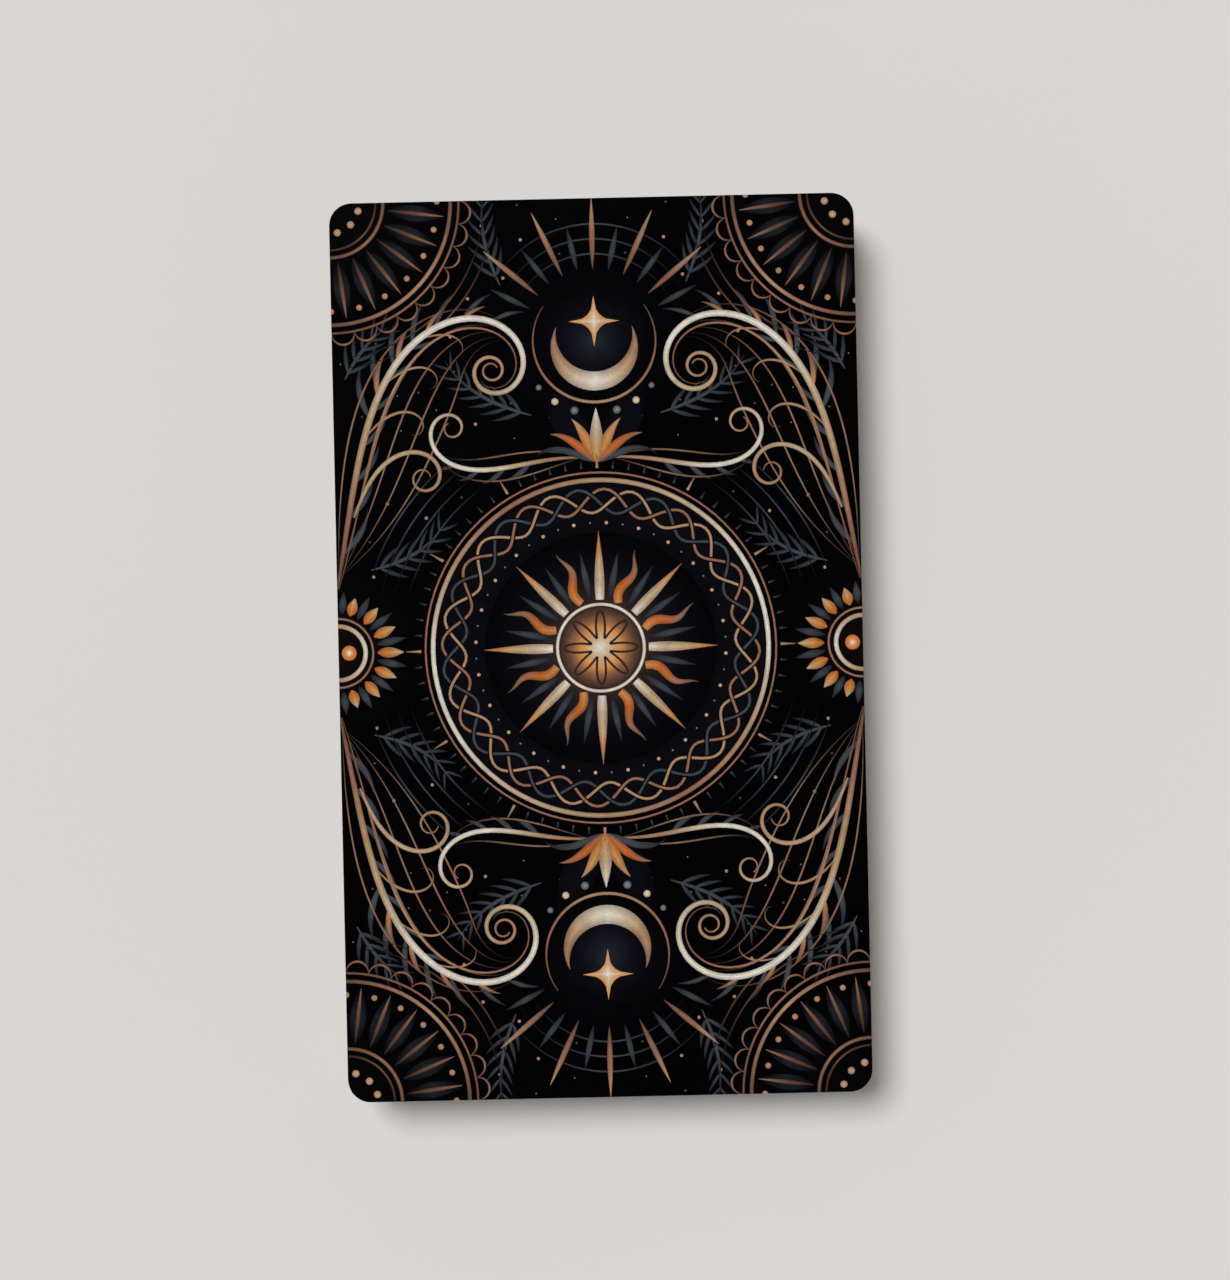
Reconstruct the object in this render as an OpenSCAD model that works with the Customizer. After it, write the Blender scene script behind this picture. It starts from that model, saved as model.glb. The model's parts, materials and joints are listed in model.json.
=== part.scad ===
// Oracle card deck: a squared-up stack of alike cards with rounded corners, lying backs up.
// Every card is a loose plate of its own. The deck rests on Z = 0 with the Z axis through its
// middle, and the cards' long sides run along Y. card_01 is the top card, and the card with the
// highest number is the bottom one. A card is drawn from the deck by sliding it along X.

/* [Card] */
// Width of a card, along its short side
card_w = 70; // [56:1:90]
// Length of a card, along its long side
card_l = 120; // [80:1:150]
// Thickness of the laminated card stock
card_t = 0.31; // [0.25:0.01:0.5]
// Radius of the die-cut corners
corner_r = 3; // [1:0.5:12]

/* [Deck] */
// Number of cards in the deck
card_count = 30; // [8:1:60]
// Air between one card and the next, where the raised print lies
air_gap = 0.04; // [0.03:0.01:0.1]
// Furthest that a card sits out of line, each way, in a deck squared up by hand
stray = 0.1; // [0:0.05:0.5]

/* [Hidden] */
$fn = 96;

// Height from the underside of one card to the underside of the next
card_pitch = card_t + air_gap;

// Each card strays by one of these evenly spaced steps from its true place. The strides share no
// factor with the step counts, so that neighbours in the deck differ and every step is used.
stray_steps_x = 11;
stray_steps_y = 9;
stray_stride_x = 7;
stray_stride_y = 4;

// Step number i out of count steps, spread evenly from -stray to +stray
function stray_at(i, count) = stray * (2 * (i % count) / (count - 1) - 1);

// Card number k as a name with two digits, counted from the top of the deck
function card_name(k) = str("card_", k < 10 ? "0" : "", k);

// Where the middle of card number k's underside lies
function card_place(k) = [
    stray_at(stray_stride_x * k, stray_steps_x),
    stray_at(stray_stride_y * k, stray_steps_y),
    (card_count - k) * card_pitch
];

// Outline that the die cuts: a rectangle with a quarter circle at each corner
module card_outline() {
    square([card_w, card_l - 2 * corner_r], center = true);
    square([card_w - 2 * corner_r, card_l], center = true);
    for (x = [-1, 1], y = [-1, 1])
        translate([x * (card_w / 2 - corner_r), y * (card_l / 2 - corner_r)])
            circle(r = corner_r);
}

// One card, number k from the top, in its place in the deck
module card(k) {
    color("#0b0b0e")
        translate(card_place(k))
            linear_extrude(card_t)
                card_outline();
}

for (k = [1 : card_count])
    card(k);
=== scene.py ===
# %% [markdown]
# # A deck of oracle cards
#
# This lesson dresses a deck of thirty loose cards, which lie squared up and backs up on a pale table. The
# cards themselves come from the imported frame: thin plates with round corners, each free to slide out. What
# is made here is what a printer would add: black laminated faces, pale paper edges and the line print.

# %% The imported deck
import json
from math import comb

import bpy
import numpy as np
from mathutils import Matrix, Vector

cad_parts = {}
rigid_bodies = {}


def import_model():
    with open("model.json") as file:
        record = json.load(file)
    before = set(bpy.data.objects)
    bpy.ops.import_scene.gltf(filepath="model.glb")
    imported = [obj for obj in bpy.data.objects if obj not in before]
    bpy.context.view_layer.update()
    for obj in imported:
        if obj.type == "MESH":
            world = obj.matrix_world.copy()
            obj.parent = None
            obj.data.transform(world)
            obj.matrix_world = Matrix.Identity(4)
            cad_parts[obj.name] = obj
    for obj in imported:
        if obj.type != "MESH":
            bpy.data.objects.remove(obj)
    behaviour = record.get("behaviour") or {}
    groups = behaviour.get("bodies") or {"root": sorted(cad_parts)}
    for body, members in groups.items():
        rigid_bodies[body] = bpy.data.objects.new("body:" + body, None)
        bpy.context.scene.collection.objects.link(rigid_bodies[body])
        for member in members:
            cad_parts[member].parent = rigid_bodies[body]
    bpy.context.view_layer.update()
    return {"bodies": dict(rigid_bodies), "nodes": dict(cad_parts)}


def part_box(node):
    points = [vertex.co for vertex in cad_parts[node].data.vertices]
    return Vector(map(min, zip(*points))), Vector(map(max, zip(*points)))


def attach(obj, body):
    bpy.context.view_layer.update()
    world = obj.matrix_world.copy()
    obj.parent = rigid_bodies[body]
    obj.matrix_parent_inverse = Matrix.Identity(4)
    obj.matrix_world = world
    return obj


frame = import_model()

MM = 0.001
cards = sorted(frame["bodies"])
card_boxes = {card: np.array(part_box(card)) for card in cards}
top_low, top_high = card_boxes[cards[0]]
card_w, card_l, card_t = (top_high - top_low) / MM
card_pitch = (top_low[2] - card_boxes[cards[1]][0][2]) / MM
print(f"{len(cards)} cards of {card_w:.1f} x {card_l:.1f} x {card_t:.2f} mm, one every {card_pitch:.2f} mm")

# %% [markdown]
# ## The camera
#
# The deck is seen from straight above, so the camera only needs a height, a place and a small roll. All
# three follow from where the top card's corners lie in a picture of 1230 by 1280 pixels: their spacing gives
# the height, their slope the roll, and their middle the place. A longish lens keeps the deck's sides out of
# sight.

# %% Camera straight above
IMAGE_W, IMAGE_H = 1230, 1280
TOP_LEFT = np.array([329.4, 203.3])
TOP_RIGHT = np.array([852.1, 191.9])
BOTTOM_LEFT = np.array([349.0, 1103.6])
BOTTOM_RIGHT = np.array([873.2, 1091.8])
LENS_MM = 60.0
SENSOR_MM = 36.0

across = (TOP_RIGHT - TOP_LEFT + BOTTOM_RIGHT - BOTTOM_LEFT) / 2
down = (BOTTOM_LEFT - TOP_LEFT + BOTTOM_RIGHT - TOP_RIGHT) / 2
pixels_per_mm = (np.linalg.norm(across) / card_w + np.linalg.norm(down) / card_l) / 2
roll = np.arctan2(across[1], across[0])
height = LENS_MM / SENSOR_MM * IMAGE_H / pixels_per_mm * MM

middle = (TOP_LEFT + TOP_RIGHT + BOTTOM_LEFT + BOTTOM_RIGHT) / 4
right_mm, down_mm = (middle - np.array([IMAGE_W, IMAGE_H]) / 2) / pixels_per_mm
right = np.array([np.cos(roll), np.sin(roll)])
up = np.array([-np.sin(roll), np.cos(roll)])
card_middle = (top_low + top_high)[:2] / 2
camera_xy = card_middle - (right * right_mm - up * down_mm) * MM

lens = bpy.data.cameras.new("overhead_camera")
lens.lens = LENS_MM
lens.sensor_fit = "VERTICAL"
lens.sensor_height = SENSOR_MM
lens.clip_start = 0.01
camera = bpy.data.objects.new("overhead_camera", lens)
camera.location = (camera_xy[0], camera_xy[1], top_high[2] + height)
camera.rotation_euler = (0, 0, roll)
bpy.context.scene.collection.objects.link(camera)
bpy.context.scene.camera = camera
bpy.context.scene.view_settings.view_transform = "Standard"
print(f"camera {height:.3f} m above the top card, rolled {np.degrees(roll):.2f} degrees")

# %% [markdown]
# ## Small tools for materials
#
# Colours are written as the hex values that a screen shows. Shaders work with linear light, so one function
# turns them over. Another one adds a node, sets its properties and fills its inputs with values or links.
# All materials here read the place on their object in millimetres, so each starts with a node for that.

# %% Colour and node helpers
def screen_colour(code):
    """The three screen values, from 0 to 1, of a hex colour."""
    return np.array([int(code[i:i + 2], 16) for i in (1, 3, 5)]) / 255


def linear(screen):
    """Screen values turned to linear light, by the sRGB curve."""
    return np.where(screen <= 0.04045, screen / 12.92, ((screen + 0.055) / 1.055) ** 2.4)


def rgba(code):
    """A hex colour as a linear colour for a shader's socket."""
    return (*linear(screen_colour(code)), 1.0)


def add_node(tree, kind, inputs=None, **settings):
    """Adds one shader node, sets its properties, and fills each input with a value, a socket or a node."""
    node = tree.nodes.new("ShaderNode" + kind)
    for name, value in settings.items():
        setattr(node, name, value)
    for key, value in (inputs or {}).items():
        if isinstance(value, bpy.types.Node):
            value = value.outputs[0]
        if isinstance(value, bpy.types.NodeSocket):
            tree.links.new(value, node.inputs[key])
        else:
            node.inputs[key].default_value = value
    return node


def new_material(name):
    """A material, its node tree, and a node in it that gives the place on the object in millimetres."""
    material = bpy.data.materials.new(name)
    material.use_nodes = True
    tree = material.node_tree
    tree.nodes.clear()
    metres = add_node(tree, "TexCoord").outputs["Object"]
    return material, tree, add_node(tree, "VectorMath", {0: metres, "Scale": 1 / MM}, operation="SCALE")


print(f"half grey on a screen is {rgba('#808080')[0]:.0%} of white in linear light")

# %% [markdown]
# ## The table
#
# The deck lies on a pale table, one large square a hair's breadth below the bottom card. Its matt paint was
# rolled on, so it clouds a little from one hand's breadth to the next. In Blender's Mix node two colours go
# in at sockets 6 and 7 and come out at 2, and socket 0 is the share of the second.

# %% Table top
TABLE_SIZE = 3.0
TABLE_DROP = 0.05 * MM
ROLLER_MM = 160.0
PAINT_TONES = ("#d6d4d2", "#dcdad8")
PAINT_ROUGH = 0.9
PAINT_SHINE = 0.1


def mesh_object(name, places, faces):
    """A mesh object at the origin, from arrays of corner places in metres and of faces."""
    mesh = bpy.data.meshes.new(name)
    mesh.from_pydata(places, [], faces)
    piece = bpy.data.objects.new(name, mesh)
    bpy.context.scene.collection.objects.link(piece)
    return piece


half = TABLE_SIZE / 2
table_corners = np.array([[-half, -half], [half, -half], [half, half], [-half, half]])
table = mesh_object("table_top", np.column_stack([table_corners, np.full(4, -TABLE_DROP)]), [[0, 1, 2, 3]])

paint, tree, mm = new_material("rolled_matt_paint")
roller = add_node(tree, "TexNoise", {"Vector": mm, "Scale": 1 / ROLLER_MM, "Detail": 2.0})
pale, paler = (rgba(code) for code in PAINT_TONES)
tone = add_node(tree, "Mix", {0: roller, 6: pale, 7: paler}, data_type="RGBA")
surface = {"Base Color": tone.outputs[2], "Roughness": PAINT_ROUGH, "Specular IOR Level": PAINT_SHINE}
add_node(tree, "OutputMaterial", {"Surface": add_node(tree, "BsdfPrincipled", surface)})
table.data.materials.append(paint)
print(f"table {TABLE_SIZE:.0f} m across, {TABLE_DROP / MM:.2f} mm below the bottom card")

# %% [markdown]
# ## Light
#
# One broad soft light from high up to the left throws a short shadow to the right and towards the reader.
# The room lights up that shadow. It is bright low down, where it reaches the card edges, and dim overhead,
# but the eye and a shiny surface see a plain backdrop in its place. Lamp and room together light the table
# just so much that it shows in the colour it is painted. A room that goes evenly from low to high gives a
# level surface its low value and two thirds of the change.

# %% Lamp and room light
LAMP_FROM = np.array([-0.36, 0.42, 1.0])
LAMP_SPREAD = 26.0
ROOM_LOW, ROOM_HIGH = 0.80, 0.05
ROOM_TINT = "#fffefc"
BACKDROP = "#d9d7d5"

way = LAMP_FROM / np.linalg.norm(LAMP_FROM)
lean = np.arccos(way[2])
room_share = ROOM_LOW + (ROOM_HIGH - ROOM_LOW) * 2 / 3
lamp_data = bpy.data.lights.new("soft_lamp", "SUN")
lamp_data.angle = np.radians(LAMP_SPREAD)
lamp_data.energy = (1 - room_share) * np.pi / way[2]
lamp = bpy.data.objects.new("soft_lamp", lamp_data)
lamp.rotation_euler = (0, lean, np.arctan2(way[1], way[0]))
bpy.context.scene.collection.objects.link(lamp)

world = bpy.data.worlds.new("soft_room")
world.use_nodes = True
tree = world.node_tree
tree.nodes.clear()
rise = add_node(tree, "SeparateXYZ", {0: add_node(tree, "TexCoord").outputs["Generated"]})
dim = add_node(tree, "MapRange", {"Value": rise.outputs[2], "To Min": ROOM_LOW, "To Max": ROOM_HIGH})
room = add_node(tree, "Background", {"Color": rgba(ROOM_TINT), "Strength": dim})
backdrop = add_node(tree, "Background", {"Color": rgba(BACKDROP)})
rays = add_node(tree, "LightPath")
seen = rays.outputs["Is Camera Ray"]
for kind in ("Is Glossy Ray", "Is Transmission Ray"):
    seen = add_node(tree, "Math", {0: seen, 1: rays.outputs[kind]}, operation="MAXIMUM")
both = add_node(tree, "MixShader", {0: seen, 1: room, 2: backdrop})
add_node(tree, "OutputWorld", {"Surface": both})
bpy.context.scene.world = world
print(f"lamp {90 - np.degrees(lean):.0f} degrees above the table, gives {1 - room_share:.0%} of its light")

# %% [markdown]
# ## Card stock
#
# Each card is white board, printed black to the edge on both faces and covered with a matt film, then cut
# with a steel die. A material for each of these would need its own slot on the card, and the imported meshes
# stay as they are. So one material does it all: the way a surface faces tells printed face from cut edge.

# %% Face or edge
FACE_LEAN = 45.0

stock, tree, mm = new_material("matt_laminated_card")
facing = add_node(tree, "SeparateXYZ", {0: add_node(tree, "TexCoord").outputs["Normal"]})
steep = add_node(tree, "Math", {0: facing.outputs[2]}, operation="ABSOLUTE")
level = np.cos(np.radians(FACE_LEAN))
on_face = add_node(tree, "Math", {0: steep, 1: level}, operation="GREATER_THAN")
on_back = add_node(tree, "Math", {0: facing.outputs[2], 1: level}, operation="GREATER_THAN")
print(f"what leans by more than {FACE_LEAN:.0f} degrees is cut edge, the rest is printed face")

# %% [markdown]
# The printed black isn't quite even. Faint indigo and umber clouds lie behind the larger motifs of the back,
# alike in its four quarters: the smooth fall from the middle of a cloud to its rim is mixed over the black.

# %% Printed black
BLACK = "#010102"
CLOUDS = [
    # Middle and reach in mm, and colour
    ((0, 0), 25.0, "#07070c"),
    ((0, 0), 11.0, "#1a110d"),
    ((0, 41), 13.0, "#07070d"),
    ((35, 60), 20.0, "#050404"),
    ((35, 0), 12.0, "#0b0807"),
]

quarter = add_node(tree, "VectorMath", {0: mm}, operation="ABSOLUTE")
flat_spot = add_node(tree, "VectorMath", {0: quarter, 1: (1, 1, 0)}, operation="MULTIPLY")
ground = rgba(BLACK)
for (x, y), reach, code in CLOUDS:
    far = add_node(tree, "VectorMath", {0: flat_spot, 1: (x, y, 0)}, operation="DISTANCE")
    fall = {"Value": far.outputs[1], "From Max": reach, "To Min": 1.0, "To Max": 0.0}
    near = add_node(tree, "MapRange", fall, interpolation_type="SMOOTHSTEP")
    share = add_node(tree, "Math", {0: near, 1: on_back}, operation="MULTIPLY")
    ground = add_node(tree, "Mix", {0: share, 6: ground, 7: rgba(code)}, data_type="RGBA").outputs[2]
print(f"{len(CLOUDS)} kinds of cloud over the black of a back")

# %% [markdown]
# The cut edge shows the pale layers of the board, drawn out by the die into fine fibres along the card. At
# each face lies a dark line, where the blade pulled the ink down. The height within one card's share of the
# deck tells board from line, and the fibres fray the line's border.

# %% Cut edge
FIBRE_LENGTH_MM = 1.2
FIBRE_HEIGHT_MM = 0.04
BOARD_TONES = ("#c4bcae", "#f6f1e8")
INK_LINE = 0.20
STAIN = 0.92
STAIN_INK = "#0b0a0c"

fibre_size = (FIBRE_LENGTH_MM, FIBRE_LENGTH_MM, FIBRE_HEIGHT_MM)
fibre_spot = add_node(tree, "VectorMath", {0: mm, 1: fibre_size}, operation="DIVIDE")
fibres = add_node(tree, "TexNoise", {"Vector": fibre_spot, "Scale": 1.0, "Detail": 3.0})
dark, light = (rgba(code) for code in BOARD_TONES)
board = add_node(tree, "Mix", {0: fibres, 6: dark, 7: light}, data_type="RGBA")
place = add_node(tree, "SeparateXYZ", {0: mm})
cards_below = add_node(tree, "Math", {0: place.outputs[2], 1: card_pitch}, operation="DIVIDE")
within = add_node(tree, "Math", {0: cards_below}, operation="FRACT")
share = add_node(tree, "Math", {0: within, 1: card_pitch / card_t}, operation="MULTIPLY")
off_middle = add_node(tree, "Math", {0: share, 1: 0.5}, operation="SUBTRACT")
to_face = add_node(tree, "Math", {0: off_middle}, operation="ABSOLUTE")
smear = add_node(tree, "Math", {0: fibres, 1: INK_LINE, 2: to_face}, operation="MULTIPLY_ADD")
rim = {"Value": smear, "From Min": 0.5 - INK_LINE / 2, "From Max": 0.5, "To Max": STAIN}
stain = add_node(tree, "MapRange", rim)
edge = add_node(tree, "Mix", {0: stain, 6: board.outputs[2], 7: rgba(STAIN_INK)}, data_type="RGBA")
print(f"ink stains some {INK_LINE / 2 * card_t * 1000:.0f} microns of the cut edge at each face")

# %% [markdown]
# The matt film is a fine-grained plastic skin. It gives a deep black with a faint, even bloom, and hardly
# any shine until it is seen from very low down. Its grain is drawn a little coarser than it is, so that it
# shows.

# %% Matt film
FILM_SHINE = 0.007
FILM_GRAIN_MM = 0.35
FILM_ROUGH = (0.46, 0.56)
FILM_RELIEF = 0.06
FILM_DEPTH_MM = 0.02
BOARD_ROUGH = 0.85

grain = add_node(tree, "TexNoise", {"Vector": mm, "Scale": 1 / FILM_GRAIN_MM, "Detail": 2.0})
film_gloss = add_node(tree, "MapRange", {0: grain, "To Min": FILM_ROUGH[0], "To Max": FILM_ROUGH[1]})
gloss = add_node(tree, "Mix", {0: on_face, 2: BOARD_ROUGH, 3: film_gloss}, data_type="FLOAT")
bumps = {"Strength": FILM_RELIEF, "Distance": FILM_DEPTH_MM * MM, "Height": grain}
relief = add_node(tree, "Bump", bumps)
colour = add_node(tree, "Mix", {0: on_face, 6: edge.outputs[2], 7: ground}, data_type="RGBA")
surface = {"Base Color": colour.outputs[2], "Roughness": gloss, "Normal": relief}
shader = add_node(tree, "BsdfPrincipled", surface | {"Specular IOR Level": FILM_SHINE})
add_node(tree, "OutputMaterial", {"Surface": shader})

for card in cards:
    for slot in frame["nodes"][card].material_slots:
        slot.material = stock
print(f"card stock on {len(cards)} cards, {len(tree.nodes)} nodes")

# %% [markdown]
# ## Printed lines
#
# The back print is made of hundreds of tapering strokes. Drawn in the material, each would need its own few
# nodes, and a baked picture of them blurs. So they are made as a film of ink: thin bands a few microns above
# the black, worked out as whole arrays. A stroke is a path, a width that eases along it and a row of inks
# that run into each other.

# %% Inks
INKS = {
    "cream": "#e2d9ca",
    "pale": "#c1a788",
    "gold": "#b3906e",
    "amber": "#cb8a4c",
    "orange": "#bd652f",
    "copper": "#996d58",
    "tan": "#93765f",
    "brown": "#6d4e3e",
    "umber": "#3a2922",
    "steel": "#85888e",
    "slate": "#43484f",
    "dusk": "#22252b",
    "indigo": "#0a0a10",
    "night": "#020203",
}


def inks(words):
    """Screen colours of a row of inks, named in one string."""
    return np.array([screen_colour(INKS[word]) for word in words.split()])


def blended(row, u):
    """Values spaced evenly along a stroke, each run straight into the next."""
    at = np.linspace(0, 1, len(row))
    return np.stack([np.interp(u, at, channel) for channel in row.T], axis=-1)


def eased(values, u):
    """Values eased into each other along a stroke: a Bezier curve that has them as its control values."""
    top = len(values) - 1
    weights = [comb(top, i) * u**i * (1 - u) ** (top - i) for i in range(top + 1)]
    return np.stack(weights, axis=-1) @ np.asarray(values, float)


print(f"{len(INKS)} inks, from cream to night")

# %% [markdown]
# A few kinds of path are enough. An arc is part of a circle, a ray runs straight out from a centre, and a
# ring is a closed line whose radius may wave. All come as points in millimetres, with the share of the way
# at which each point lies. An arc has just so many points that its straight pieces leave the true circle by
# a hundredth of a millimetre.

# %% Arcs, rays and rings
ARC_SLACK = 0.01
RAY_WAVES = 1.25


def polar(centre, radius, degrees):
    """Points in the given directions from a centre: cosine and sine of the angle, times the radius."""
    angle = np.radians(degrees)
    out = np.stack([np.cos(angle), np.sin(angle)], axis=-1)
    return np.asarray(centre) + out * np.asarray(radius)[..., None]


def arc(centre, radius, first, last):
    """Part of a circle, between two angles in degrees. A straight piece over an angle leaves the circle by
    the radius times the angle squared, over 8, which gives the number of points."""
    piece = np.degrees(np.sqrt(8 * ARC_SLACK / radius))
    u = np.linspace(0, 1, int(2 + abs(last - first) / piece))
    return polar(centre, radius, first + (last - first) * u), u


def ray(centre, degrees, first, last, wave=0.0, count=8):
    """A line straight out from a centre, from one radius to another; a sine swings it to its sides."""
    u = np.linspace(0, 1, count)
    swing = polar((0, 0), wave * np.sin(2 * np.pi * RAY_WAVES * u), degrees + 90)
    return polar(centre, first + (last - first) * u, degrees) + swing, u


def ring(radius, wave=0.0, waves=0, count=60):
    """A closed line round the middle of the card: the radius is a mean plus a cosine of the angle."""
    u = np.arange(count) / count
    return polar((0, 0), radius + wave * np.cos(2 * np.pi * waves * u), 360 * u), u


print(f"a quarter of a circle of 16 mm gets {len(arc((0, 0), 16.0, 0, 90)[1])} points")

# %% [markdown]
# A pen line is drawn as a hand draws it: it sets off in some direction and bends more or less along its way,
# which gives scrolls, tendrils and leaves from a handful of numbers. It is stepped off finely first, and
# then only as many points are kept as its turns call for.

# %% Pen lines
PEN_STEPS = 400
PEN_TURN_WEIGHT_MM = 8.0
# Fewest points that are kept, and one more for so many mm and for so many degrees of turn
PEN_FEWEST, PEN_POINT_MM, PEN_POINT_TURN = 6, 3.0, 12.0


def pen_line(start, heading, length, bends):
    """A line as a pen draws it. Its bend, in radians per mm, eases through the listed values. The bend summed
    along the line gives the heading, and the heading's cosine and sine summed give the place. The points
    that are kept lie closer together where the line turns."""
    u = np.linspace(0, 1, PEN_STEPS)
    step = length / PEN_STEPS
    turn = np.radians(heading) + np.cumsum(eased(bends, u)) * step
    place = np.asarray(start) + np.cumsum(polar((0, 0), step, np.degrees(turn)), axis=0)
    turned = np.abs(np.diff(turn, prepend=turn[0]))
    weight = np.cumsum(turned * PEN_TURN_WEIGHT_MM + step)
    count = int(PEN_FEWEST + length / PEN_POINT_MM + np.degrees(turned.sum()) / PEN_POINT_TURN)
    kept = np.interp(np.linspace(weight[0], weight[-1], count), weight, u)
    return np.column_stack([np.interp(kept, u, place[:, k]) for k in (0, 1)]), kept


print(f"a full turn of 30 mm keeps {len(pen_line((0, 0), 0, 30, [2 * np.pi / 30])[1])} of {PEN_STEPS} points")

# %% [markdown]
# Any path can be cut short, or followed at its side by another that runs with it, nearer or further off. For
# that, and for a stroke's width, each point needs the direction that lies to the left of the path.

# %% Lines beside a line
def part_of(path, first, last):
    """The stretch of a path between two shares of its length, which are then counted anew from 0 to 1."""
    points, u = path
    kept = np.concatenate([[first], u[(u > first) & (u < last)], [last]])
    stretch = np.column_stack([np.interp(kept, u, points[:, k]) for k in (0, 1)])
    return stretch, (kept - first) / (last - first)


def left_of(points, closed=False):
    """Unit vectors to the left of a path, at right angles to the line between each point's neighbours."""
    ahead = np.gradient(points, axis=0)
    if closed:
        ahead = np.roll(points, -1, axis=0) - np.roll(points, 1, axis=0)
    ahead = ahead / np.linalg.norm(ahead, axis=1, keepdims=True)
    return np.column_stack([-ahead[:, 1], ahead[:, 0]])


def beside(path, offsets):
    """A path that follows another at its left, at a distance in mm that eases along it."""
    points, u = path
    return points + left_of(points) * eased(offsets, u)[:, None], u


print(f"to the left of a line along X: {left_of(np.array([[0, 0], [1, 0]]))[0]}")

# %% [markdown]
# A sheet collects the strokes of one print, in the order of printing. Each entry is a grid of points with
# their inks, and how it repeats: the back reads the same both ways up, so most strokes are drawn once and
# mirrored into all four quarters. A stroke is lighter in its middle than at its edges, as a brush leaves it.
# A few width profiles, times a width in millimetres, serve for all.

# %% Strokes
BAND = np.array([-1.0, 0.0, 1.0])
BAND_SHADE = np.array([0.74, 1.0, 0.74])
MIRRORS = {
    "quarters": [(1, 1), (-1, 1), (-1, -1), (1, -1)],
    "ends": [(1, 1), (1, -1)],
    "sides": [(1, 1), (-1, 1)],
    "once": [(1, 1)],
}
HAIR = np.array([0.2, 1.0, 1.0, 0.2])
LEAF = np.array([0.1, 1.0, 0.55, 0.02])
BLADE = np.array([0.05, 1.0, 0.75, 0.05])
FLAME = np.array([0.6, 1.0, 0.4, 0.02])
HORNS = np.array([0.01, 0.45, 1.0, 0.45, 0.01])
SCROLL = np.array([0.3, 1.1, 0.9, 1.0, 0.8, 0.6, 0.2])


def stroke(sheet, path, widths, row, repeat="quarters", closed=False):
    """A band along a path: each point moved to its left by half the width times -1, 0 and 1."""
    points, u = path
    reach = left_of(points, closed) * eased(widths, u)[:, None] / 2
    grid = points[:, None] + reach[:, None] * BAND[:, None]
    colour = blended(inks(row), u)[:, None] * BAND_SHADE[:, None]
    sheet.append((grid, colour, repeat, closed, False))


print(f"a stroke in a quarter of the card is printed {len(MIRRORS['quarters'])} times")

# %% [markdown]
# Dots and stars are patches with a rim round a centre, whose ink runs from the centre to the rim. Leaves are
# short pen lines that turn away from a longer one. A motif that is used more than once is drawn about the
# origin, as a small sheet of its own, and then placed at the size that it needs.

# %% Dots, stars and leaves
LAST_LEAF = 0.65


def blot(sheet, centre, rim, row, repeat="quarters", rings=3):
    """A filled patch: its rim, an array of radii round the centre, shrunk in steps down to one point."""
    out = polar((0, 0), rim, 360 * np.arange(len(rim)) / len(rim))
    share = np.linspace(0, 1, rings)
    grid = np.asarray(centre) + out[:, None] * share[:, None]
    colour = np.broadcast_to(blended(inks(row), share), grid.shape[:2] + (3,))
    sheet.append((grid, colour, repeat, True, True))


def disc(sheet, centre, radius, row, repeat="quarters", count=10, rings=2):
    """A round blot."""
    blot(sheet, centre, np.full(count, radius), row, repeat, rings)


def spark(sheet, centre, radius, row, repeat="quarters", count=32):
    """A star with four points: a superellipse of power one half, which caves in between its points."""
    angle = 2 * np.pi * np.arange(count) / count
    rim = radius / (np.abs(np.cos(angle)) ** 0.5 + np.abs(np.sin(angle)) ** 0.5) ** 2
    blot(sheet, centre, rim, row, repeat, rings=4)


def leaves(sheet, path, spread, turn, length, bends, width, row):
    """Leaves along a path, spread from one share of its length to another in some number: at each spot a pen
    line turns away from the path by an angle. They shrink along the way."""
    first, last, count = spread
    points, u = path
    course = np.unwrap(np.arctan2(*np.gradient(points, axis=0).T[::-1]))
    for size, spot in zip(np.linspace(1.0, LAST_LEAF, count), np.linspace(first, last, count)):
        foot = [np.interp(spot, u, points[:, k]) for k in (0, 1)]
        heading = np.degrees(np.interp(spot, u, course)) + turn
        leaf = pen_line(foot, heading, length * size, bends)
        stroke(sheet, leaf, LEAF * width * size, row)


def placed(motif, place, size=1.0):
    """The strokes of a motif, scaled and moved from the origin to their place."""
    return [(np.asarray(place) + grid * size, *rest) for grid, *rest in motif]


print(f"the last leaf of a row has {LAST_LEAF:.0%} of the first one's size")

# %% [markdown]
# ## The back: sun, moons and scrolls
#
# The back carries an old almanac's stock of signs: a sun in a plaited ring, a crescent with a star at either
# end, fans in the corners, half flowers at the sides, and scrolls with leaves between them. Sizes are in
# millimetres from the middle of the card, and what is drawn later lies on top.
#
# Dark tints come first, barely lighter than the black. The card stock could hold them, but a tint has to
# keep in step with its motif, so both are printed from one sheet.

# %% Dark tints
MIDDLE = (0.0, 0.0)
GLOW_R = 15.4
RING_R = 22.4
MOON = (0.0, 41.0)
MOON_SKY_R = 8.0

back = []
disc(back, MIDDLE, GLOW_R, "brown umber indigo night", "once", count=48, rings=7)
stroke(back, ring((GLOW_R + RING_R) / 2), [RING_R - GLOW_R], "indigo", "once", closed=True)
disc(back, MOON, MOON_SKY_R, "dusk indigo night", "ends", count=36, rings=5)
print(f"{len(back)} dark tints")

# %% [markdown]
# Three scrolls fill each quarter. The vine sets off at the side, climbs along the edge and winds up beside
# the moon. The branch leaves it low down, and the tendril grows out of the palmette above the ring. Only
# their paths are worked out here, because leaves and fine lines are printed beneath them.

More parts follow.
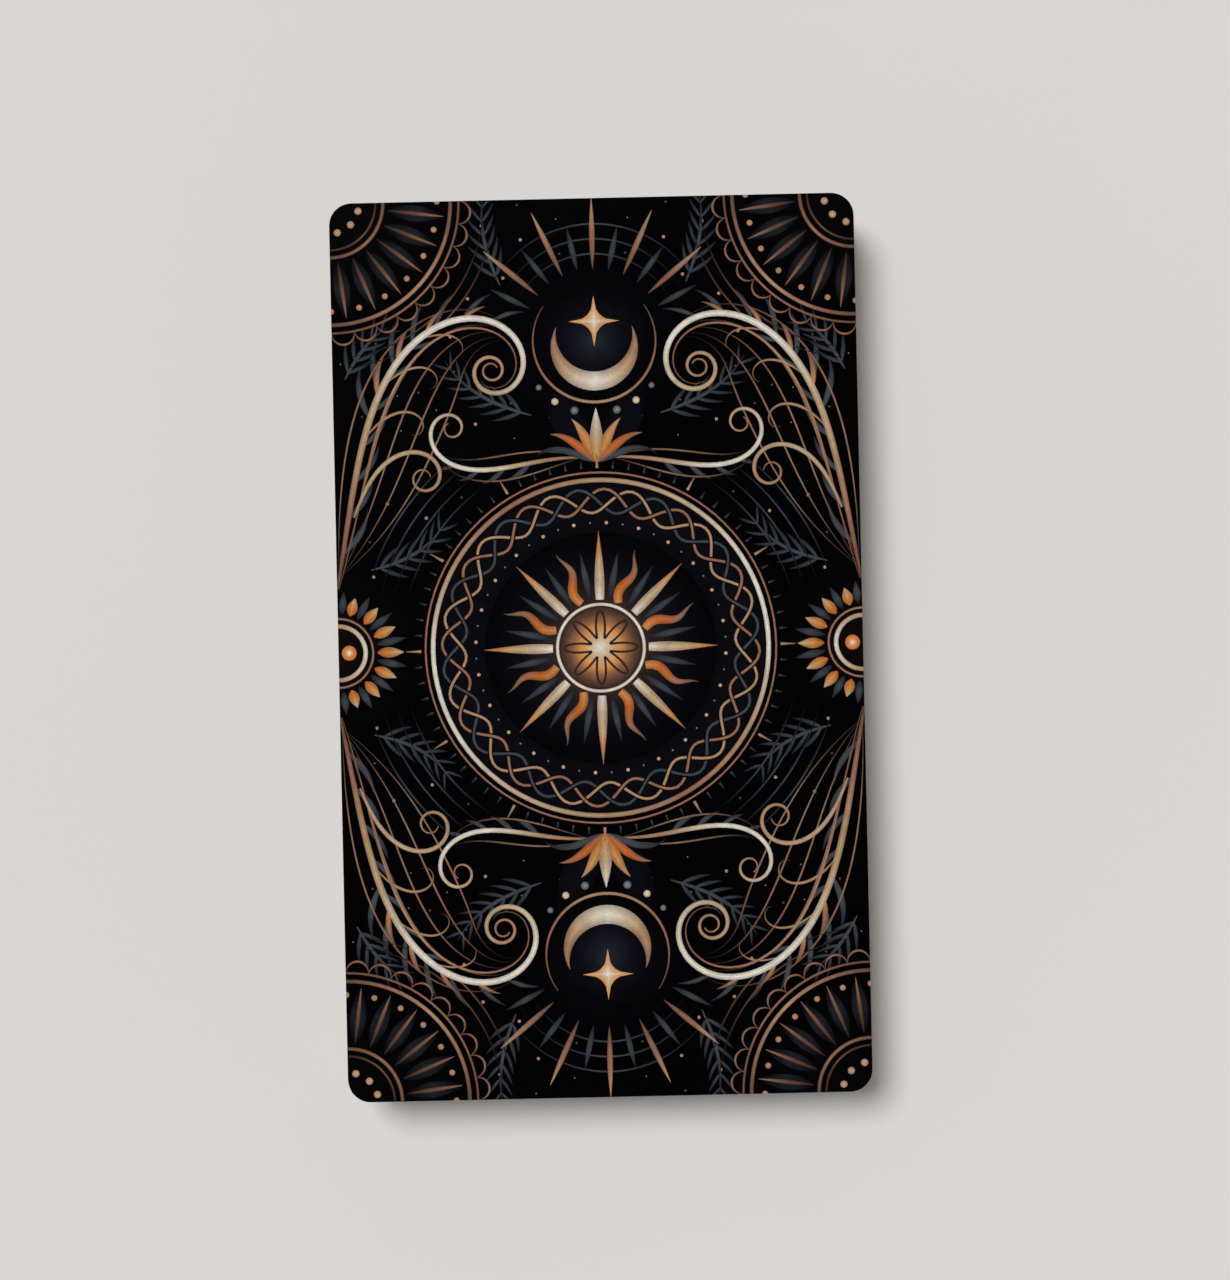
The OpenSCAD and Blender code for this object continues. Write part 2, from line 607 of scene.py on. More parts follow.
# %% Scroll paths
vine = pen_line(
    start=(35.0, 8.4), heading=100, length=77, bends=[0, 0, 0, 0.03, 0.06, 0.12, 0.18, 0.26, 1.1]
)
branch = pen_line(start=(32.6, 18.0), heading=112, length=27, bends=[0, 0.12, 0.2, 1.0])
tendril = pen_line(start=(2.0, 25.4), heading=4, length=34, bends=[-0.06, 0, -0.02, 0.25, 0.2, 1.2])
for name, (points, _) in {"vine": vine, "branch": branch, "tendril": tendril}.items():
    print(f"{name} reaches from x {points[:, 0].min():.1f} to {points[:, 0].max():.1f} mm")

# %% [markdown]
# Star dust fills the black between the motifs. Random grains would clump, so each one steps on from the last
# by fixed shares of the width and the length. The shares come from the plastic number, a cousin of the
# golden ratio for two directions, which spreads the grains evenly without a pattern that shows. Grains in a
# motif or on a scroll are left out.

# %% Star dust
CORNER = np.array([card_w, card_l]) / 2
SIDE = (card_w / 2, 0.0)
CLEAR = [
    # Middle and radius of each motif that is kept clear
    (MIDDLE, 26.5),
    (CORNER, 19.5),
    (SIDE, 11.0),
    (MOON, 10.8),
]
SCROLL_CLEAR = 1.0
PLASTIC = 1.324718
GRAINS = 90
GRAIN_KINDS = [
    # Radius and inks
    (0.12, "steel slate"),
    (0.18, "brown umber"),
    (0.24, "gold copper"),
]

shares = np.array([1 / PLASTIC, 1 / PLASTIC**2])
grains = (np.arange(1, GRAINS)[:, None] * shares % 1) * CORNER
scroll_points = np.concatenate([vine[0], branch[0], tendril[0]])
free = np.linalg.norm(grains[:, None] - scroll_points, axis=2).min(axis=1) > SCROLL_CLEAR
for centre, radius in CLEAR:
    free &= np.linalg.norm(grains - centre, axis=1) > radius
for k, spot in enumerate(grains[free]):
    radius, row = GRAIN_KINDS[k % len(GRAIN_KINDS)]
    disc(back, spot, radius, row, count=6)
print(f"{free.sum()} grains of dust in each quarter")

# %% [markdown]
# Slate leaves grow from the scrolls, and fronds of them fill the quiet black. Their ink is so near to black
# that they only show at second sight. Each is a short pen line with a belly.

# %% Slate leaves
SPRAYS = [
    # Scroll, first and last leaf along it and their number, turn, length, bends and width
    (vine, (0.30, 0.60, 7), -44, 7.4, [0.02, 0.2], 1.4),
    (vine, (0.06, 0.44, 7), 36, 7.0, [-0.02, -0.2], 1.4),
    (tendril, (0.2, 0.5, 4), -36, 4.4, [0, 0.3], 1.2),
]
FRONDS = [
    # Foot, heading, length, bends and number of pairs of leaves
    ((8.6, 31.2), 16, 14, [0.02, 0.05, 0.1], 7),
    ((30.5, 11.0), 168, 12, [-0.02, -0.08, -0.12], 6),
    ((12.4, 48.6), 66, 12, [0.02, 0.06, 0.06], 6),
    ((33.4, 36.5), 118, 9, [0.02, 0.06, 0.1], 5),
]
STEM_WIDTHS = [0.15, 0.8, 0.4, 0.1]
FROND_TURN = 38
FROND_LEAF = 4.2
FROND_LEAF_W = 0.9
FROND_BEND = 0.15
FROND_SPREAD = (0.1, 0.9)

for spray in SPRAYS:
    leaves(back, *spray, "slate slate dusk")
for foot, heading, length, bends, pairs in FRONDS:
    stem = pen_line(foot, heading, length, bends)
    stroke(back, stem, STEM_WIDTHS, "slate slate dusk")
    for side in (-1, 1):
        droop = [0, -FROND_BEND * side]
        spread = (*FROND_SPREAD, pairs)
        leaves(back, stem, spread, FROND_TURN * side, FROND_LEAF, droop, FROND_LEAF_W, "slate dusk")
print(f"{len(SPRAYS)} sprays and {len(FRONDS)} fronds in each quarter")

# %% [markdown]
# Fine lines run with the vine and the tendril. They part from it, swell out and join it again, like strands
# of a rope that opens, and fade into the black at both ends. Haloes of the same make lie about the moon, the
# ring and the fan.

# %% Fine lines
VINE_SWELLS = [-2.4, 2.0, 4.6, 7.6, 11.0]
TENDRIL_SWELLS = [-2.2, 2.2]
HALOES = [
    # Centre, radii, first and last angle, inks and repeat
    (MOON, [11.6, 13.6, 15.6], (22, 158), "night dusk slate dusk night", "ends"),
    (MIDDLE, [26.6, 28.4, 30.2, 32.0], (14, 58), "night dusk slate dusk night", "quarters"),
    (CORNER, [20.6, 22.0], (185, 265), "night umber brown umber night", "quarters"),
]
STRAND_W = 0.3
HALO_W = 0.3

for swell in VINE_SWELLS:
    strand = beside(part_of(vine, first=0.02, last=0.66), [0, swell, swell, swell, 0])
    stroke(back, strand, HAIR * STRAND_W, "umber tan copper brown night")
for swell in TENDRIL_SWELLS:
    strand = beside(part_of(tendril, first=0.0, last=0.6), [0, swell, swell, 0])
    stroke(back, strand, HAIR * STRAND_W, "umber tan brown night")
for centre, radii, angles, row, repeat in HALOES:
    for radius in radii:
        stroke(back, arc(centre, radius, *angles), HAIR * HALO_W, row, repeat)
print(f"{len(VINE_SWELLS) + len(TENDRIL_SWELLS)} fine lines a quarter, haloes of {len(HALOES)} kinds")

# %% [markdown]
# Beams stand over the moon, by turns long and bright, and short and dark.

# %% Moonbeams
BEAMS = 6
BEAM_STEP = 12.5
BEAM_FOOT_R = 9.6
BEAM_TIP_R = (19.0, 15.5)
BEAM_INKS = ("brown copper gold", "dusk slate dusk")
BEAM_W = 1.1

beams = []
for k in range(BEAMS):
    beam = ray((0, 0), 90 - BEAM_STEP * k, BEAM_FOOT_R, BEAM_TIP_R[k % 2])
    stroke(beams, beam, BLADE * BEAM_W, BEAM_INKS[k % 2], "quarters" if k else "ends")
back += placed(beams, MOON)
print(f"{2 * BEAMS - 1} beams over each moon")

# %% [markdown]
# A quarter of a fan opens in each corner: arcs about the corner itself, blades between them, and scallops
# along the rim. The die cuts through it, as it does on any card that is printed to the edge.

# %% Corner fans
FAN_ARCS = [
    # Radius, width and inks
    (6.2, 0.3, "umber brown umber"),
    (7.2, 0.45, "brown copper brown"),
    (16.2, 0.5, "brown copper gold copper brown"),
    (17.3, 0.3, "brown copper brown"),
]
FAN_BLADES = 6
BLADE_FOOT_R, BLADE_TIP_R = 7.9, 15.4
BLADE_COATS = [
    # Width and inks, with the dark shade first
    (3.2, "indigo dusk indigo"),
    (0.8, "umber brown copper"),
]
FAN_BEADS_R, FAN_BEAD_R = 14.4, 0.4
SCALLOPS = 9
SCALLOPS_R, SCALLOP_R, SCALLOP_W = 17.4, 1.5, 0.36
EYES = 3
EYES_R, EYE_R = 4.0, 0.5

fan = []
for width, row in BLADE_COATS:
    for angle in 180 + 90 * (np.arange(FAN_BLADES) + 0.5) / FAN_BLADES:
        stroke(fan, ray((0, 0), angle, BLADE_FOOT_R, BLADE_TIP_R), BLADE * width, row)
for angle in 180 + 90 * np.arange(FAN_BLADES + 1) / FAN_BLADES:
    disc(fan, polar((0, 0), FAN_BEADS_R, angle), FAN_BEAD_R, "gold copper")
for angle in 180 + 90 * (np.arange(SCALLOPS) + 0.5) / SCALLOPS:
    scallop = arc(polar((0, 0), SCALLOPS_R, angle), SCALLOP_R, angle - 90, angle + 90)
    stroke(fan, scallop, HAIR * SCALLOP_W, "brown copper brown")
for radius, width, row in FAN_ARCS:
    stroke(fan, arc((0, 0), radius, 180, 270), [width], row)
for angle in 180 + 90 * (np.arange(EYES) + 0.5) / EYES:
    disc(fan, polar((0, 0), EYES_R, angle), EYE_R, "pale copper")
back += placed(fan, CORNER)
print(f"fans of {FAN_BLADES} blades and {SCALLOPS} scallops")

# %% [markdown]
# Half a flower sits at the middle of either side: an eye in two rings, petals, and sepals between them.

# %% Half flowers at the sides
PETALS = 4
PETAL_STEP = 24.0
PETAL_FOOT_R = 5.2
PETAL_TIP_R, SEPAL_TIP_R = 8.7, 9.3
PETAL_LOSS = 0.35
PETAL_W, SEPAL_W = 2.3, 1.6
FLOWER_RINGS = [
    # Radius, width and inks
    (3.6, 0.6, "gold cream"),
    (4.6, 0.3, "copper"),
]
FLOWER_EYE = (card_w / 2 - 1.4, 0.0)
FLOWER_EYE_R = 1.0

for k in range(PETALS):
    sepal = ray(SIDE, 180 - PETAL_STEP * (k + 0.5), PETAL_FOOT_R, SEPAL_TIP_R - PETAL_LOSS * k)
    stroke(back, sepal, LEAF * SEPAL_W, "dusk slate dusk")
for k in range(PETALS):
    petal = ray(SIDE, 180 - PETAL_STEP * k, PETAL_FOOT_R, PETAL_TIP_R - PETAL_LOSS * k)
    stroke(back, petal, LEAF * PETAL_W, "orange amber pale", "quarters" if k else "sides")
for radius, width, row in FLOWER_RINGS:
    stroke(back, arc(SIDE, radius, 90, 180), [width], row)
disc(back, FLOWER_EYE, FLOWER_EYE_R, "cream amber orange", "sides", count=16, rings=3)
print(f"half flowers of {2 * PETALS - 1} petals")

# %% [markdown]
# Now the scrolls. The vine is the boldest, with amber leaves under its shoulder and small curls
# on its inside, and a thin line keeps it company until it winds up.

# %% Scrolls
VINE_W, TENDRIL_W, BRANCH_W, INSIDE_W = 1.0, 0.7, 0.65, 0.42
# First and last along the vine and their number, turn, length, bends and width
AMBER_LEAVES = ((0.34, 0.55, 4), -30, 5.6, [0.02, 0.25], 1.2)
CURLS = ((0.26, 0.46, 3), 16, 13.0, [0.1, 0.1, 0.1, 1.2], 0.6)
INSIDE_GAPS = [0.2, 2.0, 1.6, 1.4, 0.6]

leaves(back, vine, *AMBER_LEAVES, "amber copper brown")
leaves(back, vine, *CURLS, "copper gold brown")
inside = beside(part_of(vine, first=0.0, last=0.8), INSIDE_GAPS)
stroke(back, inside, HAIR * INSIDE_W, "brown copper gold copper brown")
stroke(back, branch, SCROLL * BRANCH_W, "gold pale gold copper")
stroke(back, tendril, SCROLL * TENDRIL_W, "copper gold cream cream pale copper")
stroke(back, vine, SCROLL * VINE_W, "brown copper gold pale cream cream cream pale gold copper")
print("vine, branch and tendril in each quarter")

# %% [markdown]
# A palmette of seven leaves grows over the ring at either end, bright in the middle and dark at its sides. A
# broad dark stroke on either side sets it off from what lies behind.

# %% Palmettes over the ring
PALM = (0.0, 24.8)
PALM_LEAVES = [
    # Heading, length, bends, width, inks and repeat
    (16, 8.6, [0.12, -0.36], 1.5, "slate slate dusk", "quarters"),
    (38, 7.4, [0.09, -0.27], 1.9, "copper orange copper", "quarters"),
    (64, 6.7, [0.05, -0.15], 2.3, "orange amber gold", "quarters"),
    (90, 7.2, [0.0, 0.0], 2.8, "amber pale cream", "ends"),
]
PALM_SHADE = [0.5, 7, 5, 0.03]

shade = pen_line(PALM, heading=40, length=13, bends=[0.12, -0.1])
stroke(back, shade, PALM_SHADE, "night indigo indigo night")
for heading, length, bends, width, row, repeat in PALM_LEAVES:
    stroke(back, pen_line(PALM, heading, length, bends), LEAF * width, row, repeat)
print(f"palmettes of {2 * len(PALM_LEAVES) - 1} leaves")

# %% [markdown]
# The moon is one stroke along an arc, broad in the middle and gone at its horns. A star stands in its arms,
# and strings of shrinking pearls hang below it.

# %% Moons and stars
MOON_R, MOON_W = 5.4, 4.2
HORN_ANGLES = (-200, 20)
MOON_INKS = "copper gold cream gold copper"
RIM_R, RIM_W = 8.2, 0.5
RIM_ANGLES = (-215, 35)
MOON_STAR = (0.0, 43.6)
MOON_STAR_R = 3.4
PEARLS = 3
PEARLS_R = 9.7
PEARL_STEP = 17
PEARL_R, PEARL_LOSS = 0.62, 0.07
PEARL_INKS = ("cream gold", "steel slate")

stroke(back, arc(MOON, RIM_R, *RIM_ANGLES), HAIR * RIM_W, "brown copper gold copper brown", "ends")
stroke(back, arc(MOON, MOON_R, *HORN_ANGLES), HORNS * MOON_W, MOON_INKS, "ends")
spark(back, MOON_STAR, MOON_STAR_R, "cream pale amber", "ends")
for k in range(1, PEARLS + 1):
    spot = polar(MOON, PEARLS_R, PEARL_STEP * k - 90)
    disc(back, spot, PEARL_R - PEARL_LOSS * k, PEARL_INKS[k % 2], count=12)
print(f"moons with {2 * PEARLS} pearls")

# %% [markdown]
# Three strands plait the ring. Each is a circle whose radius waves twelve times, and they differ by a third
# of a wave. In a plait each strand passes over the next one and under the one after that, so no order of
# printing whole strands will do. The short stretches that pass over are printed once more on top, each with
# a dark margin that parts it from the strand beneath.

# %% Plait
PLAIT_R = 19.6
PLAIT_SWING = 1.6
PLAIT_WAVES = 12
PLAIT_INKS = ("slate", "copper", "gold")
PLAIT_W, MARGIN_W = 0.36, 0.72
WAVE_STEP = 22.5
# Angle of the wave at which a strand crosses over the next, and how far it stays over, each way
CROSSING, OVER_REACH = 30.0, 28.0


def plait_strand(turn, wave):
    """A strand at some angles of its wave: its radius swings by their sine. The way round the ring is the
    wave's angle, less a third of a wave for each strand before it, shared out over all the waves."""
    radius = PLAIT_R + PLAIT_SWING * np.sin(np.radians(wave))
    return polar(MIDDLE, radius, (wave - 120 * turn) / PLAIT_WAVES), np.linspace(0, 1, len(wave))


whole = np.arange(0, 360 * PLAIT_WAVES, WAVE_STEP)
over = CROSSING + np.linspace(-OVER_REACH, OVER_REACH, 5)
for turn, row in enumerate(PLAIT_INKS):
    stroke(back, plait_strand(turn, whole), [PLAIT_W], row, "once", closed=True)
for width, rows in ((MARGIN_W, ("night",) * 3), (PLAIT_W, PLAIT_INKS)):
    for turn, row in enumerate(rows):
        for k in range(2 * PLAIT_WAVES):
            stroke(back, plait_strand(turn, over + 180 * k), [width], row, "once")
print(f"plait of {len(PLAIT_INKS)} strands with {2 * PLAIT_WAVES * len(PLAIT_INKS)} crossings")

# %% [markdown]
# Beads line the ring on its inside, and ticks like those of a dial on its outside.

# %% Ring, beads and ticks
BEADS = 48
BEADS_R = 16.7
BEAD_KINDS = [
    # Radius and inks
    (0.15, "steel slate"),
    (0.24, "pale gold"),
]
TICKS = 72
LONG_EVERY = 6
TICK_FOOT_R = 24.0
TICK_TIP_W = 0.1
TICK_KINDS = {
    # Whether it is a long one: length, width at the foot and inks
    False: (1.0, 0.3, "slate dusk"),
    True: (2.0, 0.4, "gold copper"),
}
RINGS = [
    # Radius, width and inks
    (23.4, 0.26, "copper"),
    (RING_R, 0.62, "cream cream pale gold copper gold cream cream pale gold copper gold cream"),
]

for k in range(BEADS):
    radius, row = BEAD_KINDS[k % 2]
    disc(back, polar(MIDDLE, BEADS_R, 360 * (k + 0.5) / BEADS), radius, row, "once", count=8)
for k in range(TICKS):
    length, width, row = TICK_KINDS[k % LONG_EVERY == 0]
    tick = ray(MIDDLE, 360 * k / TICKS, TICK_FOOT_R, TICK_FOOT_R + length, count=3)
    stroke(back, tick, [width, TICK_TIP_W], row, "once")
for radius, width, row in RINGS:
    stroke(back, ring(radius, count=90), [width], row, "once", closed=True)
print(f"ring with {BEADS} beads and {TICKS} ticks")

# %% [markdown]
# The sun fills the ring: a disc, dark blades, wavy flames and straight rays round it, and a flower in it.
# The flower is a single closed line, a circle whose radius waves almost down to nothing.

# %% Sun
SUN_R = 5.4
RAYS = 8
RAY_FOOT_R = SUN_R + 1.0
RAY_TIP_R, FLAME_TIP_R, DARK_TIP_R = 15.6, 13.8, 13.0
RAY_W, FLAME_W, DARK_W = 1.8, 1.7, 1.4
FLAME_SWING = 0.5
FLOWER_R, FLOWER_SWING, FLOWER_W = 3.1, 1.8, 0.3
SUN_RIM_R, SUN_RIM_W = 5.8, 0.42

disc(back, MIDDLE, SUN_R, "cream pale amber brown umber", "once", count=40, rings=7)
for k in range(2 * RAYS):
    dark_ray = ray(MIDDLE, 180 / RAYS * (k + 0.5), RAY_FOOT_R, DARK_TIP_R)
    stroke(back, dark_ray, LEAF * DARK_W, "dusk slate dusk", "once")
for k in range(RAYS):
    flame = ray(MIDDLE, 360 / RAYS * (k + 0.5), RAY_FOOT_R, FLAME_TIP_R, wave=FLAME_SWING, count=16)
    stroke(back, flame, FLAME * FLAME_W, "amber orange copper brown", "once")
    sun_ray = ray(MIDDLE, 360 / RAYS * k, RAY_FOOT_R, RAY_TIP_R)
    stroke(back, sun_ray, FLAME * RAY_W, "cream pale pale amber copper", "once")
stroke(back, ring(FLOWER_R, FLOWER_SWING, RAYS, count=120), [FLOWER_W], "umber", "once", closed=True)
stroke(back, ring(SUN_RIM_R), [SUN_RIM_W], "cream", "once", closed=True)
print(f"sun of {RAYS} rays and {RAYS} flames; the back has {len(back)} strokes and dots before mirroring")

# %% [markdown]
# ## From strokes to ink films
#
# All strokes of a sheet become one mesh. The die cuts the print off at the card's edge, so points that run
# past it are pulled back onto the card's rounded outline.

# %% Cut to the card
CORNER_R = 3.0


def on_card(points):
    """Points pulled back onto the card's outline: clamped to the rectangle, and to the corner circles."""
    inner = CORNER - CORNER_R
    points = np.clip(points, -CORNER, CORNER)
    off = points - np.clip(points, -inner, inner)
    far = np.linalg.norm(off, axis=-1, keepdims=True)
    at_corner = (np.abs(off) > 0).all(axis=-1, keepdims=True)
    pulled = points - off * np.maximum(0, 1 - CORNER_R / np.maximum(far, CORNER_R))
    return np.where(at_corner, pulled, points)


print(f"the card's corner is cut back to {on_card(CORNER).round(2).tolist()} mm")

# %% [markdown]
# Inks printed later lie higher, so that crossing strokes never share a plane. There is little room, because
# the whole stack has to be thinner than the air between two cards. So strokes that lie apart share a height,
# and only those that may touch are stacked.

# %% Heights of the inks
def print_steps(sheet):
    """How many steps up each stroke lies: one above the highest earlier stroke whose box meets its own. The
    boxes are folded into one quarter of the card, as the mirrored strokes are."""
    low = np.array([grid.min(axis=(0, 1)) for grid, *_ in sheet])
    high = np.array([grid.max(axis=(0, 1)) for grid, *_ in sheet])
    near = np.maximum(0, np.maximum(low, -high))
    far = np.maximum(high, -low)
    steps = np.zeros(len(sheet), int)
    for i in range(1, len(sheet)):
        meets = ((near[:i] <= far[i]) & (near[i] <= far[:i])).all(axis=1)
        steps[i] = np.max(steps[:i] + 1, where=meets, initial=0)
    return steps


print(f"the {len(back)} strokes of the back take {print_steps(back).max() + 1} steps")

# %% [markdown]
# Each grid of points is cut into triangles, which all look up. Those that the die left without area are
# dropped.

# %% One mesh from a sheet
SMALLEST_MM2 = 0.00001


def grid_triangles(rows, columns, closed, pole):
    """Two triangles for each cell of a grid; a closed grid's last row meets its first, and a pole's first
    column is one point."""
    index = np.arange(rows * columns).reshape(rows, columns)
    if pole:
        index[:, 0] = 0
    if closed:
        index = np.vstack([index, index[:1]])
    a, b, c, d = index[:-1, :-1], index[1:, :-1], index[1:, 1:], index[:-1, 1:]
    corners = np.concatenate([np.stack([a, b, c], -1), np.stack([a, c, d], -1)]).reshape(-1, 3)
    distinct = (corners != np.roll(corners, 1, axis=1)).all(axis=1)
    return corners[distinct]


def gathered(sheet, lowest, highest):
    """A sheet as three arrays: places in mm with the film's height, triangles, and linear inks."""
    places, colours, triangles, count = [], [], [], 0
    steps = print_steps(sheet)
    heights = lowest + (highest - lowest) * steps / steps.max()
    for height, (grid, colour, repeat, closed, pole) in zip(heights, sheet):
        corners = grid_triangles(*grid.shape[:2], closed, pole)
        for mirror in MIRRORS[repeat]:
            spots = on_card(grid.reshape(-1, 2) * mirror)
            places.append(np.column_stack([spots, np.full(len(spots), height)]))
            colours.append(colour.reshape(-1, 3))
            triangles.append(corners + count)
            count += len(spots)
    places, colours, triangles = (np.concatenate(x) for x in (places, colours, triangles))
    a, b, c = (places[triangles[:, k], :2].T for k in range(3))
    along, aside = b - a, c - a
    area = (along[0] * aside[1] - along[1] * aside[0]) / 2
    triangles = np.where(area[:, None] > 0, triangles, triangles[:, ::-1])[np.abs(area) > SMALLEST_MM2]
    used, triangles = np.unique(triangles, return_inverse=True)
    return places[used], triangles.reshape(-1, 3), linear(colours[used])


back_film = gathered(back, lowest=0.004, highest=0.028)
print(f"back film: {len(back_film[1])} triangles, up to {back_film[0][:, 2].max() * 1000:.0f} microns high")

# %% [markdown]
# Offset ink under a matt film has no shine of its own: it takes the film's. Seen closely its tone is a
# little uneven, where the ink lay thicker or thinner on the blanket, so a fine and a coarse mottle vary it.

# %% Offset ink under matt film
MOTTLE_MM = 1.4
SPECK_MM = 0.18
MOTTLE_RANGE = (0.1, 0.4)
TONES = (0.80, 1.14)

ink, tree, mm = new_material("offset_ink_under_matt_film")
mottle = add_node(tree, "TexNoise", {"Vector": mm, "Scale": 1 / MOTTLE_MM, "Detail": 2.0})
speck = add_node(tree, "TexNoise", {"Vector": mm, "Scale": 1 / SPECK_MM, "Detail": 1.0})
strength = add_node(tree, "Math", {0: mottle, 1: speck}, operation="MULTIPLY")
span = {"From Min": MOTTLE_RANGE[0], "From Max": MOTTLE_RANGE[1], "To Min": TONES[0], "To Max": TONES[1]}
tone = add_node(tree, "MapRange", {"Value": strength} | span)
printed = add_node(tree, "Attribute", attribute_name="ink")
toned = add_node(tree, "VectorMath", {0: printed.outputs["Color"], "Scale": tone}, operation="SCALE")
gloss = add_node(tree, "MapRange", {0: speck, "To Min": FILM_ROUGH[0], "To Max": FILM_ROUGH[1]})
surface = {"Base Color": toned, "Roughness": gloss, "Specular IOR Level": FILM_SHINE}
add_node(tree, "OutputMaterial", {"Surface": add_node(tree, "BsdfPrincipled", surface)})
print(f"ink tones vary from {TONES[0]:.0%} to {TONES[1]:.0%}")

# %% [markdown]
# ## Printing every back
#
# Every card gets the same film, set down on its own back and carried along when the card is drawn. The map
# that goes with it is simply the film seen from above, stretched over the unit square.

# %% Back prints
def print_film(name, card, z, places, triangles, colours):
    """One film of ink as a mesh: its places in mm, moved from the origin to the card's middle and height."""
    x, y, _ = card_boxes[card].mean(axis=0)
    piece = mesh_object(name, places * MM + (x, y, z), triangles)
    shade = piece.data.attributes.new("ink", "FLOAT_COLOR", "POINT")
    shade.data.foreach_set("color", np.column_stack([colours, np.ones(len(colours))]).ravel())
    spread = places[:, :2] / (card_w, card_l) + 0.5
    piece.data.uv_layers.new(name="OFBake").uv.foreach_set("vector", spread[triangles.ravel()].ravel())
    piece.data.materials.append(ink)
    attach(piece, card)


for card in cards:
    print_film(f"{card}_back_print", card, card_boxes[card][1][2], *back_film)
print(f"{len(cards)} back prints, {len(cards) * len(back_film[1])} triangles in all")

# %% [markdown]
# ## Faces
#
# The faces lie downwards and only show when a card is lifted, so they are plainer: a double border, a star
# in a ring, a crescent at either end, and small fans and scrolls from the back's stock. No two are alike.
# The star gains points from card to card, the crescent grows and wanes over the deck like the moon over a
# month, and in a ring of thirty dots as many are lit as the card's place in the deck. First come the border
# and the star.

# %% Border and star
STAR_R = 15.0
STAR_RING_R = 15.6
STAR_SIDE = [0.1, 0.9, 0.9, 0.1]
FEWEST_POINTS, POINT_COUNTS = 7, 6
GLORY_FOOT_R = 16.4
GLORY_TIPS_R = (19.6, 21.4)
GLORY_INKS = ("slate dusk", "orange copper")
GLORY_FLAME = [0.2, 1.6, 0.03]


def border(inset, corner):
    """A closed line inside the card's edge: a quarter circle at each corner, joined by straight sides."""
    far = CORNER - inset - corner
    turns = np.arange(0, 91, 15)
    quarters = [polar(far * way, corner, turns + 90 * k) for k, way in enumerate(MIRRORS["quarters"])]
    points = np.concatenate(quarters)
    return points, np.arange(len(points)) / len(points)


def star(sheet, points):
    """A star in straight strokes, each from one point to the third part of the way round, and a glory of
    flames about it."""
    tips = polar(MIDDLE, STAR_R, 90 + 360 * np.arange(points) / points)
    skip = (points + 1) // 3
    along = np.linspace(0, 1, 5)
    for first, last in zip(tips, np.roll(tips, -skip, axis=0)):
        stroke(sheet, (first + (last - first) * along[:, None], along), STAR_SIDE, "amber pale amber", "once")
    for k in range(2 * points):
        flame = ray(MIDDLE, 90 + 180 * (k + 0.5) / points, GLORY_FOOT_R, GLORY_TIPS_R[k % 2], count=5)
        stroke(sheet, flame, GLORY_FLAME, GLORY_INKS[k % 2], "once")


print(f"stars of {FEWEST_POINTS} to {FEWEST_POINTS + POINT_COUNTS - 1} points")

# %% [markdown]
# One function draws a whole face from the card's number, with the inks and strokes of the back.

# %% One face
BORDERS = [
    # Inset, corner radius, width and inks
    (2.6, 2.0, 0.7, "gold pale cream pale gold"),
    (4.0, 1.4, 0.3, "copper"),
]
GLORY_R = 22.0
FACE_RINGS = [
    # Radius, width and inks
    (STAR_RING_R, 0.6, "cream gold copper gold cream"),
    (GLORY_R, 0.4, "copper"),
]
HEART_R = 2.6
COUNT_R = 24.6
COUNT_DOTS = {True: (0.5, "cream gold"), False: (0.3, "slate dusk")}
FACE_MOON = (0.0, 39.5)
FACE_MOON_R = 5.0
THINNEST, SWELL = 1.0, 5.0
FACE_BEAM_SIZE = 0.8
FACE_STAR, FACE_STAR_R = (0.0, 41.9), 2.6
FACE_FAN, FACE_FAN_SIZE = (30.4, 55.4), 0.55
SIDE_STAR, SIDE_STAR_R = (27.6, 19.8), 2.2
FACE_SWELLS = [2.0, 3.6]
FACE_LEAVES = ((0.1, 0.6, 6), -42, 5.0, [0.02, 0.2], 1.3)
FACE_SCROLL_W = 0.85


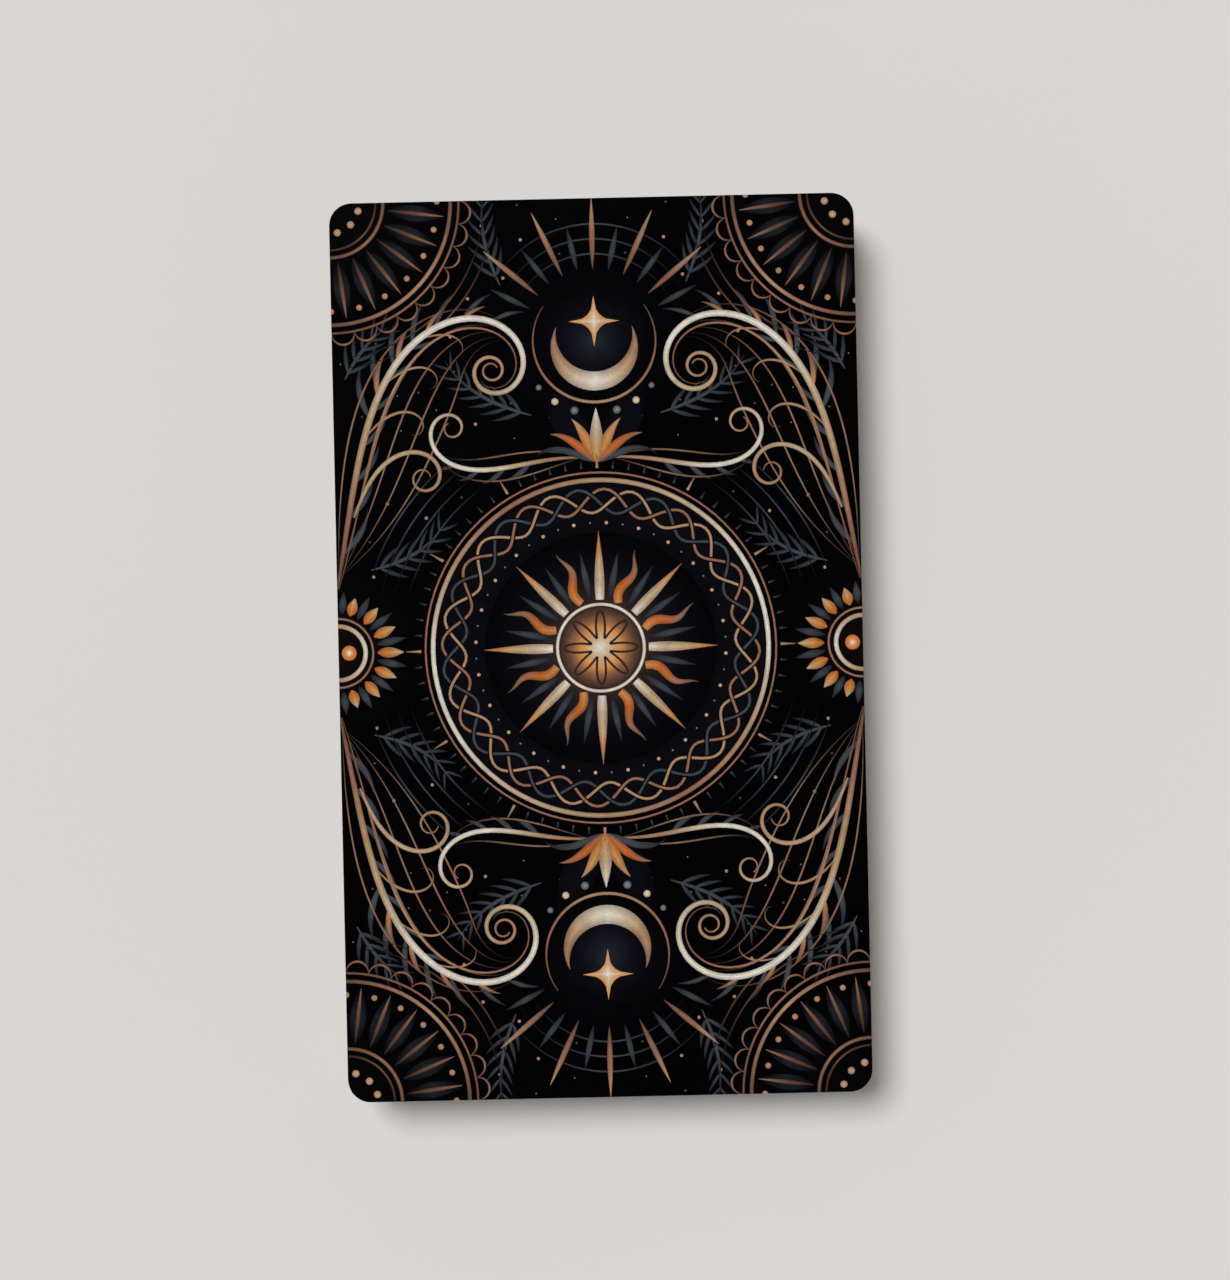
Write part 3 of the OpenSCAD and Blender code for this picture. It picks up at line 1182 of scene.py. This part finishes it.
def face_sheet(number):
    """The strokes of one face, varied by the card's number."""
    sheet = []
    disc(sheet, MIDDLE, GLORY_R - 1, "umber indigo night", "once", count=36, rings=4)
    for inset, corner, width, row in BORDERS:
        stroke(sheet, border(inset, corner), [width], row, "once", closed=True)
    for radius, width, row in FACE_RINGS:
        stroke(sheet, ring(radius), [width], row, "once", closed=True)
    star(sheet, FEWEST_POINTS + number % POINT_COUNTS)
    disc(sheet, MIDDLE, HEART_R, "cream amber orange", "once", count=24, rings=3)
    for k in range(len(cards)):
        radius, row = COUNT_DOTS[k < number]
        disc(sheet, polar(MIDDLE, COUNT_R, 90 - 360 * k / len(cards)), radius, row, "once", count=8)
    crescent = HORNS * (THINNEST + SWELL * np.sin(np.pi * number / len(cards)))
    stroke(sheet, arc(FACE_MOON, FACE_MOON_R, *HORN_ANGLES), crescent, MOON_INKS, "ends")
    sheet += placed(beams, FACE_MOON, FACE_BEAM_SIZE) + placed(fan, FACE_FAN, FACE_FAN_SIZE)
    spark(sheet, FACE_STAR, FACE_STAR_R, "cream pale amber", "ends")
    spark(sheet, SIDE_STAR, SIDE_STAR_R, "pale amber copper")
    scroll = pen_line(start=(27.5, 28.0), heading=108, length=30, bends=[0, 0.05, 0.1, 0.2, 0.9])
    leaves(sheet, scroll, *FACE_LEAVES, "slate slate dusk")
    for swell in FACE_SWELLS:
        strand = beside(part_of(scroll, first=0.0, last=0.7), [0, swell, swell, 0])
        stroke(sheet, strand, HAIR * STRAND_W, "umber tan brown night")
    stroke(sheet, scroll, SCROLL * FACE_SCROLL_W, "copper gold pale gold copper")
    return sheet


print(f"the first face has {len(face_sheet(1))} strokes and dots before mirroring")

# %% [markdown]
# A face is drawn as if it lay upwards, and then turned half round about the card's length, so that its inks
# hang below the card and its triangles look down.

# %% Face prints
TURNED = np.array([-1, 1, -1])

face_triangles = 0
for number, card in enumerate(cards, start=1):
    places, triangles, colours = gathered(face_sheet(number), lowest=0.002, highest=0.008)
    print_film(f"{card}_face_print", card, card_boxes[card][0][2], places * TURNED, triangles, colours)
    face_triangles += len(triangles)
print(f"{len(cards)} face prints, {face_triangles} triangles in all")
